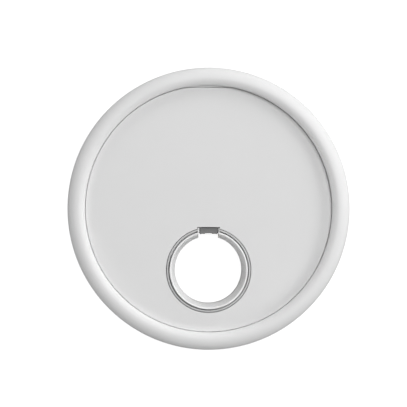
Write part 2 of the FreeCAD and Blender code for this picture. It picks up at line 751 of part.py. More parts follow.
def make_board_screws():
    """Four small cross-head screws, each its own solid."""
    s = sizes
    screws = []
    for index, (x, y) in enumerate(screw_places):
        name = "screw_%d_" % index
        head_top = s.board_high + s.screw_head_height
        thread = cylinder(name + "thread", x, y, (s.screw_end, s.board_high + s.overlap), s.screw_radius)
        head = cylinder(name + "head", x, y, (s.board_high, head_top), s.screw_head_radius)
        recess = (head_top - s.screw_slot_depth, head_top + s.overlap)
        long_way, short_way = s.screw_slot_length / 2, s.screw_slot_width / 2
        slot_x = box(name + "slot_x", centred(x, long_way), centred(y, short_way), recess)
        slot_y = box(name + "slot_y", centred(x, short_way), centred(y, long_way), recess)
        blank = join(name + "blank", [thread, head])
        screws.append(subtract(name + "cut", blank, join(name + "cross", [slot_x, slot_y])))
    keep(group("screws", screws), "board_screws")


def make_package(label):
    """A packaged part under the board, with its corners eased."""
    place_x, place_y, length, width, height, turn = (
        getattr(sizes, "%s_%s" % (label, what)) for what in ("x", "y", "length", "width", "height", "turn"))
    body = new_body(label)
    turned = FreeCAD.Rotation(FreeCAD.Vector(0, 0, 1), turn.value)
    body.Placement = FreeCAD.Placement(FreeCAD.Vector(0, 0, 0), turned)
    bind(body, "Placement.Base.x", place_x)
    bind(body, "Placement.Base.y", place_y)
    bind(body, "Placement.Rotation.Angle", turn)
    sketch = new_sketch(body, "outline", lift=sizes.board_low - height)
    add_rectangle(sketch, -length / 2, length / 2, -width / 2, width / 2)
    pad(body, sketch, height)
    upright = height.value - 1e-3
    round_edges(body, sizes.chip_corner, lambda edge: edge.BoundBox.ZLength > upright)


def terminal_rows(rows, height):
    """Boxes for rows of the smallest two-terminal parts, which lie across the row."""
    s = sizes
    parts = []
    for name, (x, y, step_x, step_y, count) in rows.items():
        half_x, half_y = s.terminal_half_length, s.terminal_half_width
        if step_x:
            half_x, half_y = half_y, half_x
        for index in range(count):
            parts.append(box("%s_%d" % (name, index), centred(x + step_x * index, half_x),
                             centred(y + step_y * index, half_y), (s.board_low - height, s.board_low)))
    return parts


def make_board_parts():
    """What the board carries on its underside, in the two wings beside the key hole."""
    for label in PACKAGES:
        make_package(label)
    keep(group("capacitors", terminal_rows(CAPACITOR_ROWS, sizes.capacitor_height)), "board_capacitors")
    keep(group("resistors", terminal_rows(RESISTOR_ROWS, sizes.resistor_height)), "board_resistors")


# ---------------------------------------------------------------- the click switch

def dome_top():
    """The height of the film over the metal dome."""
    return dome_base + sizes.dome_rise + sizes.film_thickness + sizes.film_lift


def cap_radius(half_width, rise):
    """The radius of the arc that rises so much over a half width."""
    return (half_width * half_width + rise * rise) / (rise * 2)


def make_click_switch():
    """Copper pads on the board, the metal dome that snaps, and the film that holds it down."""
    s = sizes
    pads = (s.board_high, dome_base)
    outside = s.dome_radius + s.film_edge_rise
    ring = subtract("pad_ring", cylinder("pad_disc", 0, s.dome_y, pads, outside),
                    cylinder("pad_hole", 0, s.dome_y, pads, outside - s.pad_ring_width))
    middle = cylinder("pad_middle", 0, s.dome_y, pads, s.pad_middle_radius)
    keep(group("pads", [ring, middle]), "switch_pads")

    dome = new_body("switch_dome", s.dome_y)
    inner_width = s.dome_radius - s.dome_flange
    inner_rise = s.dome_rise - s.dome_sheet
    revolve(dome, [
        (0, dome_base + inner_rise, cap_radius(inner_width, inner_rise), -1), (inner_width, dome_base),
        (s.dome_radius, dome_base, cap_radius(s.dome_radius, s.dome_rise), 1),
        (0, dome_base + s.dome_rise),
    ])

    film = new_body("dome_film", s.dome_y)
    reach = s.dome_radius + s.clip_slack
    under = s.dome_rise + s.film_lift
    edge_rise = s.film_edge_rise
    arc = cap_radius(reach, under - edge_rise)
    over = reach + s.clip_slack
    revolve(film, [
        (0, dome_base + under, arc, -1), (reach, dome_base + edge_rise),
        (reach + s.film_skirt, s.board_high),
        (s.film_radius, s.board_high), (s.film_radius, s.board_high + s.film_thickness),
        (over + s.film_skirt, s.board_high + s.film_thickness),
        (over, dome_base + edge_rise + s.film_thickness, cap_radius(over, under - edge_rise), 1),
        (0, dome_base + under + s.film_thickness),
    ])


# ---------------------------------------------------------------- the cell

def make_cell():
    """A rechargeable coin cell: can with its filling, plastic grommet and cap."""
    s = sizes
    rim = s.cell_high - s.cap_reveal
    cap_floor = s.cell_high - s.cap_depth
    grommet_outer = s.cap_radius + s.grommet_width
    can = new_body("battery_cell", s.cell_y)
    revolve(can, [
        (0, s.cell_low), (s.cell_radius - s.cell_round, s.cell_low, s.cell_round, 1),
        (s.cell_radius, s.cell_low + s.cell_round),
        (s.cell_radius, rim - s.can_rim_round, s.can_rim_round, 1),
        (s.cell_radius - s.can_rim_round, rim), (grommet_outer, rim), (grommet_outer, cap_floor),
        (0, cap_floor),
    ])
    grommet = new_body("battery_grommet", s.cell_y)
    revolve(grommet, [
        (s.cap_radius, cap_floor), (grommet_outer, cap_floor), (grommet_outer, rim + s.grommet_reveal),
        (s.cap_radius, rim + s.grommet_reveal),
    ])
    cap = new_body("battery_cap", s.cell_y)
    revolve(cap, [
        (0, cap_floor), (s.cap_radius, cap_floor),
        (s.cap_radius, s.cell_high - s.cap_round, s.cap_round, 1),
        (s.cap_radius - s.cap_round, s.cell_high), (0, s.cell_high),
    ])


def make_battery_tabs():
    """Two welded nickel strips: one over the cap, one under the can and up through the cradle."""
    s = sizes
    width = centred(s.cell_y, s.tab_width / 2)
    foot_top = s.board_low - s.clip_slack / 2
    foot_end = s.tab_reach + s.tab_foot
    upper = s.cell_high + s.tab_lift
    over = box("tab_over", (-s.tab_weld_reach, foot_end), width, (upper, upper + s.tab_sheet))
    over_foot = box("tab_over_foot", (s.tab_reach, foot_end), width, (upper, foot_top))
    keep(join("tab_over_whole", [over, over_foot]), "battery_tab_negative")

    lower = s.cell_low - s.tab_sheet - s.tab_lift
    wall_x = (-s.tab_reach - s.tab_sheet, -s.tab_reach)
    under = box("tab_under", (-s.tab_reach - s.tab_sheet, s.tab_weld_reach), width,
                (lower, lower + s.tab_sheet))
    riser = box("tab_riser", wall_x, width, (lower, foot_top))
    under_foot = box("tab_under_foot", (-foot_end, -s.tab_reach), width, (foot_top - s.tab_sheet, foot_top))
    keep(join("tab_under_whole", [under, riser, under_foot]), "battery_tab_positive")


def make_cell_insulator():
    """A thin film between the cell's tab and the board."""
    s = sizes
    low = s.cell_high + s.tab_sheet + s.tab_lift * 2
    film = cylinder("film_over_cell", 0, s.cell_y, (low, low + s.insulator_sheet), s.insulator_radius)
    keep(film, "cell_insulator")


# ---------------------------------------------------------------- the sounder

def make_sounder():
    """A brass plate bonded to the shell's floor, its ceramic disc, and the foam ring on it."""
    s = sizes
    keep(cylinder("brass_plate", 0, s.cell_y, (s.shell_floor, piezo_top), s.piezo_radius), "piezo_plate")
    keep(cylinder("ceramic", 0, s.cell_y, (piezo_top, piezo_top + s.ceramic_sheet), s.ceramic_radius),
         "piezo_ceramic")
    foam = new_body("cell_foam", s.cell_y)
    revolve(foam, [
        (s.foam_inner, piezo_top), (s.foam_outer, piezo_top),
        (s.foam_outer, s.cell_low), (s.foam_inner, s.cell_low),
    ])
    gap = new_sketch(foam, "gap", lift=s.shell_floor)
    add_rectangle(gap, -s.cell_radius, -(s.foam_inner - s.cutter_reach),
                  -s.gate_half_width, s.gate_half_width)
    cut(foam, gap, s.cell_low)


def lead(name, y, start_x, z):
    """One insulated lead: along the floor, round a bend and up to the board."""
    s = sizes
    body = doc.addObject("PartDesign::Body", name)
    bind(body, "Placement.Base.y", y)
    bend = s.lead_bend.value
    riser_x = -s.lead_riser
    top = s.board_low - s.clip_slack / 2
    spine = new_sketch(body, "spine", "XZ_Plane")
    line = spine.addGeometry(Part.LineSegment(
        FreeCAD.Vector(as_size(start_x).value, z.value, 0),
        FreeCAD.Vector(riser_x.value + bend, z.value, 0)))
    curve = spine.addGeometry(arc_between(
        FreeCAD.Vector(riser_x.value + bend, z.value, 0),
        FreeCAD.Vector(riser_x.value, z.value + bend, 0), bend, -1))
    riser = spine.addGeometry(Part.LineSegment(
        FreeCAD.Vector(riser_x.value, z.value + bend, 0),
        FreeCAD.Vector(riser_x.value, top.value, 0)))
    hold_point(spine, line, 1, start_x, z)
    hold_point(spine, line, 2, riser_x + s.lead_bend, z)
    spine.addConstraint(Sketcher.Constraint("Coincident", line, 2, curve, 2))
    hold_point(spine, riser, 1, riser_x, z + s.lead_bend)
    spine.addConstraint(Sketcher.Constraint("Coincident", curve, 1, riser, 1))
    hold(spine, Sketcher.Constraint("Radius", curve, bend), s.lead_bend)
    hold_point(spine, riser, 2, riser_x, top)
    section = new_sketch(body, "section", "YZ_Plane", lift=start_x)
    add_circle(section, s.lead_radius, 0, z)
    doc.recompute()
    pipe = body.newObject("PartDesign::AdditivePipe", name + "_pipe")
    pipe.Profile = section
    pipe.Spine = (spine, ["Edge1", "Edge2", "Edge3"])
    finish_feature(body, pipe)
    return body


def make_piezo_leads():
    """The sounder's two leads, one from the brass and one from the ceramic."""
    s = sizes
    on_brass = piezo_top + s.lead_radius + s.solder_lift
    on_ceramic = on_brass + s.ceramic_sheet
    brass_lead = lead("lead_from_brass", s.cell_y - s.lead_aside, -s.brass_lead_start, on_brass)
    ceramic_lead = lead("lead_from_ceramic", s.cell_y + s.lead_aside, -s.ceramic_lead_start, on_ceramic)
    keep(group("leads", [brass_lead, ceramic_lead]), "piezo_leads")


# ---------------------------------------------------------------- build, check and write

make_rear_shell()
make_bumper_ring()
make_front_panel()
make_panel_gasket()
make_eyelet_sleeve()
make_eyelet_seal()
make_charge_socket()
make_main_board()
make_board_screws()
make_board_parts()
make_click_switch()
make_cell()
make_battery_tabs()
make_cell_insulator()
make_sounder()
make_piezo_leads()
doc.recompute()

for item in doc.Objects:
    if "Invalid" in item.State or "Error" in item.State:
        raise RuntimeError("%s did not build: %s" % (item.Label, item.State))

os.makedirs("parts", exist_ok=True)
for sub_part in sub_parts:
    shape = sub_part.Shape
    if shape.isNull() or not shape.isValid() or not shape.Solids:
        raise RuntimeError(sub_part.Label + " has no valid solid")
    shape.exportStep(os.path.join("parts", sub_part.Label + ".step"))
    bounds = shape.BoundBox
    print("%-22s solids %2d  volume %9.3f mm3  x %7.2f %7.2f  y %7.2f %7.2f  z %6.3f %6.3f" % (
        sub_part.Label, len(shape.Solids), shape.Volume, bounds.XMin, bounds.XMax,
        bounds.YMin, bounds.YMax, bounds.ZMin, bounds.ZMax))
print(len(sub_parts), "sub-parts")
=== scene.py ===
# %% [markdown]
# # A round tracker tag, finished in Blender
#
# The construction of the tag comes from a CAD model: shell, panel, sleeve, board, cell and the rest, each
# a mesh of its own at its real place.  This lesson gives every one of them its finish, and models by hand
# the pieces whose looks the CAD model leaves plain.  Blender works in metres, so one helper turns the
# millimetres a maker thinks in into metres.

# %% Load the frame
import json
import math

import bmesh
import bpy
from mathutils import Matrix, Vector


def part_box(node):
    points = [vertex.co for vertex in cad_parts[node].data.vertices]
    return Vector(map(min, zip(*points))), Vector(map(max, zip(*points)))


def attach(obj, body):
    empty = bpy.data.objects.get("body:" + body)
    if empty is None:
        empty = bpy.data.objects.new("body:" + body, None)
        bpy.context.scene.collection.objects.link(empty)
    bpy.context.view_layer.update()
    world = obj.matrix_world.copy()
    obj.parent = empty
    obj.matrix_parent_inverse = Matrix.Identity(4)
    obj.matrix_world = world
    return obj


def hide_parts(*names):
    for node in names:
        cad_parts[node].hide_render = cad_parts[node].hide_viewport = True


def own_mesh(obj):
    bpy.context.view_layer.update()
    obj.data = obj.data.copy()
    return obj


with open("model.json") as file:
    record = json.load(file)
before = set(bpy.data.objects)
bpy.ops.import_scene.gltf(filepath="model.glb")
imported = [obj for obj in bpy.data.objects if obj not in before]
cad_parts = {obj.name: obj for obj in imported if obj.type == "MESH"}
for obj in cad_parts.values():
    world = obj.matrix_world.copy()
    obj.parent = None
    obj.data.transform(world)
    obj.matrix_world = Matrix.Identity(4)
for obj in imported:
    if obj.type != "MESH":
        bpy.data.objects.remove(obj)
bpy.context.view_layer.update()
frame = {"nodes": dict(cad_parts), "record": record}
nodes = frame["nodes"]


def mm(value):
    """Millimetres as metres."""
    return value / 1000.0


# %% [markdown]
# ## The sizes everything else is worked out from
#
# A box round a CAD node tells where the node starts and ends.  The bumper's box gives the outside of the
# tag, the panel's box gives its edge and its face, and the sleeve's box gives the rim of the key hole.
# Reading them here means that a change of size in the CAD model carries through by itself.

# %% Measure the frame
ring_low, ring_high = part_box("bumper_ring")
panel_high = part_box("front_panel")[1]
shell_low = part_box("rear_shell")[0]

PANEL_GAP = mm(0.05)
outer_radius = ring_high.x
ring_foot = ring_low.z
ring_crest = ring_high.z
ring_bore = panel_high.x + PANEL_GAP
panel_face = panel_high.z
print("outside radius", round(outer_radius * 1000, 2), "mm, rim over the panel",
      round((ring_crest - panel_face) * 1000, 2), "mm")

# %% [markdown]
# ## Camera
#
# The tag is seen straight from the front, from about ten lengths away, with a long lens.  From so far away
# a flat thing keeps its shape, and the walls of the key hole still show a little perspective.  The camera
# stands slightly to the left of the disc's middle and is aimed at a point beside it, which leaves a wide,
# even margin.

# %% Set the camera
VIEW_WIDTH = mm(57.66)
VIEW_DISTANCE = mm(400)
VIEW_TARGET = Vector((mm(-0.735), mm(0.725), mm(6.3)))
CAMERA_ASIDE = mm(-5.6)
SENSOR = 36.0
CLIP_START = mm(10)
CLIP_END = mm(5000)

camera_data = bpy.data.cameras.new("camera")
camera_data.sensor_width = SENSOR
camera_data.lens = SENSOR * VIEW_DISTANCE / VIEW_WIDTH
camera_data.clip_start = CLIP_START
camera_data.clip_end = CLIP_END
camera = bpy.data.objects.new("camera", camera_data)
camera.location = VIEW_TARGET + Vector((CAMERA_ASIDE, 0, VIEW_DISTANCE))
camera.rotation_euler = (0, math.atan2(CAMERA_ASIDE, VIEW_DISTANCE), 0)
bpy.context.scene.collection.objects.link(camera)
bpy.context.scene.camera = camera
print("lens", round(camera_data.lens, 1), "mm")

# %% [markdown]
# ## Light
#
# A white part is best shown in a light tent: soft light comes from all sides, and one side of the tent is
# lit harder, which leaves some shape in the white.  Here the tent is a set of round softboxes at three
# heights.  The high one on the upper right is the key light, the ones at 30 degrees fill from all round,
# and the low ones graze the outside of the rim.  The larger a softbox is, the softer its shadows are.

# %% Set the lights
LIGHT_DISTANCE = mm(500)
LIGHT_WIDTH = mm(200)
SKY_STRENGTH = 0.02
# Bearing from +X in degrees, height over the floor in degrees, and power in watts
SOFTBOXES = [
    (40, 66, 1.00),
    (0, 30, 0.61), (30, 30, 0.31), (60, 30, 0.16), (90, 30, 0.30), (150, 30, 0.30), (270, 30, 0.38),
    (30, 12, 0.33), (60, 12, 0.16), (150, 12, 0.25), (210, 12, 0.13), (240, 12, 0.24),
]


def add_softbox(bearing, height, power):
    """A round area light that looks at the tag."""
    name = "softbox_%d_%d" % (bearing, height)
    data = bpy.data.lights.new(name, "AREA")
    data.shape = "DISK"
    data.size = LIGHT_WIDTH
    data.energy = power
    lamp = bpy.data.objects.new(name, data)
    turn, lift = math.radians(bearing), math.radians(height)
    level = math.cos(lift)
    lamp.location = Vector((level * math.cos(turn), level * math.sin(turn), math.sin(lift))) * LIGHT_DISTANCE
    lamp.rotation_euler = (-lamp.location).to_track_quat("-Z", "Y").to_euler()
    bpy.context.scene.collection.objects.link(lamp)


for bearing, height, power in SOFTBOXES:
    add_softbox(bearing, height, power)
world = bpy.data.worlds.new("studio")
world.use_nodes = True
sky = world.node_tree.nodes["Background"]
sky.inputs["Color"].default_value = (1, 1, 1, 1)
sky.inputs["Strength"].default_value = SKY_STRENGTH
bpy.context.scene.world = world
bpy.context.scene.view_settings.view_transform = "Standard"
print(len(SOFTBOXES), "softboxes")

# %% [markdown]
# ## Building materials from nodes
#
# Every finish below is a Principled shader with some texture nodes in front of it.  The nodes are linked by
# small helpers, so a recipe reads as a list of steps.  All patterns use Object coordinates, which are in
# metres here, so a grain of 0.1 mm needs a noise scale of ten thousand.

# %% Helpers for node materials


def new_material(name, colour, roughness, **sockets):
    """A material with its Principled shader set up; returns the material, its nodes and the shader."""
    material = bpy.data.materials.new(name)
    material.use_nodes = True
    shader = material.node_tree.nodes["Principled BSDF"]
    shader.inputs["Base Color"].default_value = (*colour, 1)
    shader.inputs["Roughness"].default_value = roughness
    for socket, value in sockets.items():
        shader.inputs[socket.replace("_", " ")].default_value = value
    return material, material.node_tree, shader


def add_node(tree, kind, **settings):
    """A node of a kind, with its properties and its named inputs set."""
    node = tree.nodes.new(kind)
    for name, value in settings.items():
        if hasattr(node, name):
            setattr(node, name, value)
        else:
            node.inputs[name.replace("_", " ")].default_value = value
    return node


def object_place(tree):
    """The Object coordinates, in metres."""
    return add_node(tree, "ShaderNodeTexCoord").outputs["Object"]


def object_noise(tree, size, detail=2.0, roughness=0.5):
    """Noise whose blotches are about `size` metres across; returns its value socket."""
    noise = add_node(tree, "ShaderNodeTexNoise", Scale=1.0 / size, Detail=detail, Roughness=roughness)
    tree.links.new(object_place(tree), noise.inputs["Vector"])
    return noise.outputs["Fac"]


def spread(tree, value, low, high, out_low, out_high):
    """Stretch a value from one range to another."""
    ranged = add_node(tree, "ShaderNodeMapRange")
    tree.links.new(value, ranged.inputs["Value"])
    for name, number in (("From Min", low), ("From Max", high), ("To Min", out_low), ("To Max", out_high)):
        ranged.inputs[name].default_value = number
    return ranged.outputs["Result"]


def blend_colours(tree, value, dark, light):
    """Two colours mixed by a value; each is a colour or a socket."""
    mix = add_node(tree, "ShaderNodeMix", data_type="RGBA")
    for index, colour in ((6, dark), (7, light)):
        if isinstance(colour, tuple):
            mix.inputs[index].default_value = (*colour, 1)
        else:
            tree.links.new(colour, mix.inputs[index])
    tree.links.new(value, mix.inputs[0])
    return mix.outputs[2]


def emboss(tree, shader, value, depth, strength=1.0):
    """Let a value raise the surface by a depth in metres."""
    bump = add_node(tree, "ShaderNodeBump", Strength=strength, Distance=depth)
    tree.links.new(value, bump.inputs["Height"])
    tree.links.new(bump.outputs["Normal"], shader.inputs["Normal"])


def grey(value):
    """A neutral colour."""
    return (value, value, value)


# %% [markdown]
# ## Moulded plastic and rubber
#
# A moulded part copies the skin of its mould.  A spark-eroded mould leaves a fine, even grain; a polished
# one leaves a smooth face with faint flow marks.  The recipe has a broad mottle for the colour, a fine
# noise for the gloss, and the same fine noise as the height of the grain.

# %% The moulded finish


def moulded(name, tone, roughness, grain, depth, mottle=0.01, **sockets):
    """Moulded plastic or rubber: fine grain, faint mottle and uneven gloss."""
    low = tuple(max(channel - mottle, 0) for channel in tone)
    high = tuple(min(channel + mottle, 1) for channel in tone)
    material, tree, shader = new_material(name, tone, roughness, **sockets)
    broad = spread(tree, object_noise(tree, mm(5.0), detail=3.0), 0.3, 0.7, 0.0, 1.0)
    tree.links.new(blend_colours(tree, broad, low, high), shader.inputs["Base Color"])
    fine = object_noise(tree, grain, detail=2.0)
    gloss = spread(tree, fine, 0.3, 0.7, roughness - 0.05, roughness + 0.05)
    tree.links.new(gloss, shader.inputs["Roughness"])
    emboss(tree, shader, fine, depth)
    return material


# %% [markdown]
# ## Bare metal
#
# Rolled strip, a drawn can and a plated screw differ in how fine and how bright they are.  The recipe mixes
# two tones with a noise drawn out along one direction, the way the rolls leave it, and breaks the gloss up.

# %% The metal finish


def metal(name, tone, roughness, grain=mm(0.06), depth=mm(0.0015), draw=6.0):
    """Bare metal with a fine drawn grain along X."""
    material, tree, shader = new_material(name, tone, roughness, Metallic=1.0)
    drawn = add_node(tree, "ShaderNodeMapping")
    drawn.inputs["Scale"].default_value = (1 / draw, 1, 1)
    tree.links.new(object_place(tree), drawn.inputs["Vector"])
    noise = add_node(tree, "ShaderNodeTexNoise", Scale=1.0 / grain, Detail=4.0, Roughness=0.65)
    tree.links.new(drawn.outputs["Vector"], noise.inputs["Vector"])
    fine = noise.outputs["Fac"]
    gloss = spread(tree, fine, 0.25, 0.75, max(roughness - 0.08, 0.05), roughness + 0.1)
    tree.links.new(gloss, shader.inputs["Roughness"])
    stain = spread(tree, object_noise(tree, mm(1.8), detail=4.0), 0.3, 0.75, 1.0, 0.0)
    worn = tuple(channel * 0.82 for channel in tone)
    tree.links.new(blend_colours(tree, stain, worn, tone), shader.inputs["Base Color"])
    emboss(tree, shader, fine, depth)
    return material


# %% [markdown]
# ## The circuit board
#
# A board is glass cloth in resin, with copper tracks under a green lacquer.  The tracks show as slightly
# lighter, raised lines that run square to each other, and the sawn edge shows the bare straw-coloured
# laminate.  A Voronoi texture measured the Chebychev way gives squarish cells.  Where the nearest and the
# second nearest cell are equally far, two cells meet, and a track is drawn there.  The normal of the
# surface tells the edge of the board from its faces.

# %% The board's finish


def circuit_board(name):
    """Green lacquer over square tracks, small gold vias and a straw-coloured edge."""
    material, tree, shader = new_material(name, (0.02, 0.13, 0.06), 0.3)
    border = add_node(tree, "ShaderNodeMath", operation="SUBTRACT")
    for socket, feature in ((0, "F2"), (1, "F1")):
        cells = add_node(tree, "ShaderNodeTexVoronoi", Scale=1 / mm(1.6), Randomness=0.6, feature=feature,
                         distance="CHEBYCHEV")
        tree.links.new(object_place(tree), cells.inputs["Vector"])
        tree.links.new(cells.outputs["Distance"], border.inputs[socket])
    track = spread(tree, border.outputs["Value"], 0.06, 0.10, 1.0, 0.0)
    lacquer = blend_colours(tree, track, (0.008, 0.085, 0.035), (0.03, 0.19, 0.085))
    holes = add_node(tree, "ShaderNodeTexVoronoi", Scale=1 / mm(1.1), Randomness=1.0)
    tree.links.new(object_place(tree), holes.inputs["Vector"])
    via = spread(tree, holes.outputs["Distance"], 0.10, 0.13, 1.0, 0.0)
    face = blend_colours(tree, via, lacquer, (0.75, 0.52, 0.2))
    side = add_node(tree, "ShaderNodeNewGeometry")
    split = add_node(tree, "ShaderNodeSeparateXYZ")
    tree.links.new(side.outputs["Normal"], split.inputs["Vector"])
    upright = add_node(tree, "ShaderNodeMath", operation="ABSOLUTE")
    tree.links.new(split.outputs["Z"], upright.inputs[0])
    sawn = spread(tree, upright.outputs["Value"], 0.3, 0.6, 1.0, 0.0)
    tree.links.new(blend_colours(tree, sawn, face, (0.45, 0.36, 0.17)), shader.inputs["Base Color"])
    emboss(tree, shader, track, mm(0.03))
    return material


# %% [markdown]
# ## The finishes
#
# The case is white and pale grey: soft rubber round the rim, fine matte plastic on the panel and the shell,
# and a smoother, harder plastic for the sleeve of the key hole.  The parts inside have the finishes of
# bought-in electronics.

# %% Make the finishes
finishes = {
    "bumper_white": moulded("bumper_white", grey(0.84), 0.5, mm(0.06), mm(0.0015), 0.006,
                            Specular_IOR_Level=0.35),
    "panel_pale": moulded("panel_pale", grey(0.80), 0.55, mm(0.08), mm(0.002), 0.005,
                          Specular_IOR_Level=0.4),
    "shell_white": moulded("shell_white", grey(0.82), 0.5, mm(0.12), mm(0.003), 0.008),
    "sleeve_white": moulded("sleeve_white", grey(0.95), 0.3, mm(0.05), mm(0.0006), 0.005),
    "seal_grey": moulded("seal_grey", grey(0.66), 0.6, mm(0.05), mm(0.001), 0.015),
    "gasket_clear": moulded("gasket_clear", (0.62, 0.64, 0.66), 0.4, mm(0.08), mm(0.001), 0.03),
    # The notch block's grey is partly its own dark tone and partly painted shade: it is darkened further to
    # stand in for the shade of the recess it sits in.
    "block_grey": moulded("block_grey", grey(0.21), 0.5, mm(0.06), mm(0.002), 0.015),
    "contact_gold": metal("contact_gold", (0.94, 0.70, 0.29), 0.22),
    "board_green": circuit_board("board_green"),
    "screw_steel": metal("screw_steel", (0.60, 0.60, 0.61), 0.3),
    "dome_steel": metal("dome_steel", (0.74, 0.73, 0.71), 0.18),
    "film_amber": moulded("film_amber", (0.62, 0.30, 0.06), 0.2, mm(0.5), mm(0.001), 0.03),
    "cell_steel": metal("cell_steel", (0.66, 0.66, 0.66), 0.26),
    "grommet_black": moulded("grommet_black", grey(0.03), 0.5, mm(0.06), mm(0.001), 0.005),
    "tab_nickel": metal("tab_nickel", (0.66, 0.63, 0.58), 0.3),
    "foam_black": moulded("foam_black", grey(0.03), 0.9, mm(0.12), mm(0.03), 0.01),
    "piezo_brass": metal("piezo_brass", (0.80, 0.58, 0.25), 0.3),
    "ceramic_silvered": moulded("ceramic_silvered", (0.70, 0.69, 0.66), 0.45, mm(0.1), mm(0.002), 0.03),
    "lead_insulation": moulded("lead_insulation", (0.45, 0.02, 0.02), 0.4, mm(0.2), mm(0.001), 0.02),
    "chip_black": moulded("chip_black", grey(0.025), 0.6, mm(0.05), mm(0.002), 0.006),
    "can_metal": metal("can_metal", (0.70, 0.67, 0.60), 0.35),
    "antenna_ceramic": moulded("antenna_ceramic", (0.62, 0.66, 0.72), 0.4, mm(0.1), mm(0.001), 0.02),
    "ferrite_grey": moulded("ferrite_grey", grey(0.07), 0.7, mm(0.06), mm(0.003), 0.01),
    "capacitor_tan": moulded("capacitor_tan", (0.36, 0.22, 0.12), 0.5, mm(0.05), mm(0.001), 0.03),
    "resistor_black": moulded("resistor_black", grey(0.03), 0.3, mm(0.05), mm(0.001), 0.005),
}
slot_of = {entry["node"]: entry["material_slot"] for entry in frame["record"]["subparts"]}
for name, node in nodes.items():
    node.data.materials.clear()
    node.data.materials.append(finishes[slot_of[name]])
print(len(finishes), "finishes on", len(nodes), "nodes")

# %% [markdown]
# ## Tools for modelling by hand
#
# A piece is modelled as one would at the desk: add a primitive, go into edit mode, pick vertices, edges or
# faces, and use an operator on them.  Picking by hand becomes picking by a test, such as "every vertex
# above this height".  When a piece is done, its place is baked into its mesh and it gets its finish.

# %% Modelling helpers
CLOSE = mm(0.002)
MERGE = mm(0.0005)
BEYOND = mm(1)


def clear_selection():
    """Leave nothing selected, so that an operator acts on the new piece alone."""
    bpy.ops.object.select_all(action="DESELECT")


def place_in_mesh():
    """Put the place, turn and scale of the active piece into its mesh."""
    bpy.ops.object.transform_apply(location=True, rotation=True, scale=True)


def pick(kind, test):
    """In edit mode, select the vertices, edges or faces whose middle passes a test."""
    bpy.ops.mesh.select_mode(type=kind)
    bpy.ops.mesh.select_all(action="DESELECT")
    mesh = bmesh.from_edit_mesh(bpy.context.object.data)
    items = {"VERT": mesh.verts, "EDGE": mesh.edges, "FACE": mesh.faces}[kind]
    count = 0
    for item in items:
        corners = [item.co] if kind == "VERT" else [corner.co for corner in item.verts]
        if test(sum(corners, Vector()) / len(corners)):
            item.select_set(True)
            count += 1
    mesh.select_flush(True)
    bmesh.update_edit_mesh(bpy.context.object.data)
    return count


def cut_across(height=None, radius=None):
    """Cut a section standing in the XZ plane along a height or a radius."""
    bpy.ops.mesh.select_all(action="SELECT")
    if height is not None:
        bpy.ops.mesh.bisect(plane_co=(0, 0, height), plane_no=(0, 0, 1))
    else:
        bpy.ops.mesh.bisect(plane_co=(radius, 0, 0), plane_no=(1, 0, 0))


def start_section(inner, outer, low, high, across=0.0):
    """Stand a plane up as the section of a round piece, and open it in edit mode."""
    clear_selection()
    place = ((inner + outer) / 2, across, (low + high) / 2)
    bpy.ops.mesh.primitive_plane_add(size=1, location=place, rotation=(math.pi / 2, 0, 0))
    piece = bpy.context.object
    piece.scale = (outer - inner, high - low, 1)
    place_in_mesh()
    bpy.ops.object.mode_set(mode="EDIT")
    return piece


def near(x, z):
    """A test for the corner of a section at a radius and a height."""
    return lambda place: math.hypot(place.x - x, place.z - z) < CLOSE


def round_corner(x, z, size, segments):
    """Round one corner of a section."""
    pick("VERT", near(x, z))
    bpy.ops.mesh.bevel(offset=size, segments=segments, affect="VERTICES", clamp_overlap=False)


def cut_away(test):
    """Remove the part of a section that passes a test, and make one face of what is left."""
    pick("FACE", test)
    bpy.ops.mesh.delete(type="FACE")
    bpy.ops.mesh.select_all(action="SELECT")
    bpy.ops.mesh.dissolve_faces()


def spin_round(steps, across=0.0):
    """Carry the outline of the section once round its axis, and close the skin."""
    bpy.ops.mesh.select_mode(type="FACE")
    bpy.ops.mesh.select_all(action="SELECT")
    bpy.ops.mesh.delete(type="ONLY_FACE")
    bpy.ops.mesh.select_mode(type="VERT")
    bpy.ops.mesh.select_all(action="SELECT")
    bpy.ops.mesh.spin(steps=steps, angle=2 * math.pi, center=(0, across, 0), axis=(0, 0, 1))
    bpy.ops.mesh.select_all(action="SELECT")
    bpy.ops.mesh.remove_doubles(threshold=MERGE)
    bpy.ops.mesh.normals_make_consistent(inside=False)
    bpy.ops.object.mode_set(mode="OBJECT")


def boolean_with(piece, tool, operation):
    """Join a tool to a piece, or cut it out of the piece, and remove the tool."""
    clear_selection()
    piece.select_set(True)
    bpy.context.view_layer.objects.active = piece
    change = piece.modifiers.new("change", "BOOLEAN")
    change.operation = operation
    change.solver = "EXACT"
    change.object = tool
    bpy.ops.object.modifier_apply(modifier="change")
    bpy.data.objects.remove(tool)


def block(low, high):
    """A cube from one corner to the other."""
    clear_selection()
    low, high = Vector(low), Vector(high)
    bpy.ops.mesh.primitive_cube_add(size=1, location=(low + high) / 2, scale=high - low)
    piece = bpy.context.object
    place_in_mesh()
    return piece


def finish_piece(piece, name, slot, body, smooth=35):
    """Name a piece, give it its finish and let it ride on its body."""
    piece.name = name
    piece.data.name = name
    piece.data.materials.clear()
    piece.data.materials.append(finishes[slot])
    clear_selection()
    piece.select_set(True)
    bpy.context.view_layer.objects.active = piece
    bpy.ops.object.shade_smooth_by_angle(angle=math.radians(smooth))
    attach(piece, body)
    print(name, len(piece.data.polygons), "faces")


# %% [markdown]
# ## Bumper ring: its section
#
# The rim of the tag is a ring of soft rubber, moulded in one piece.  Everything about it is in its section:
# a round crown, a rounded foot, a groove inside that clips over the shell's tongue, and the fine
# raised line that the two halves of the mould leave on the outside.  The section starts as one upright
# plane.  Bevelled corners make the rounds, and cuts and a deleted face make the groove.

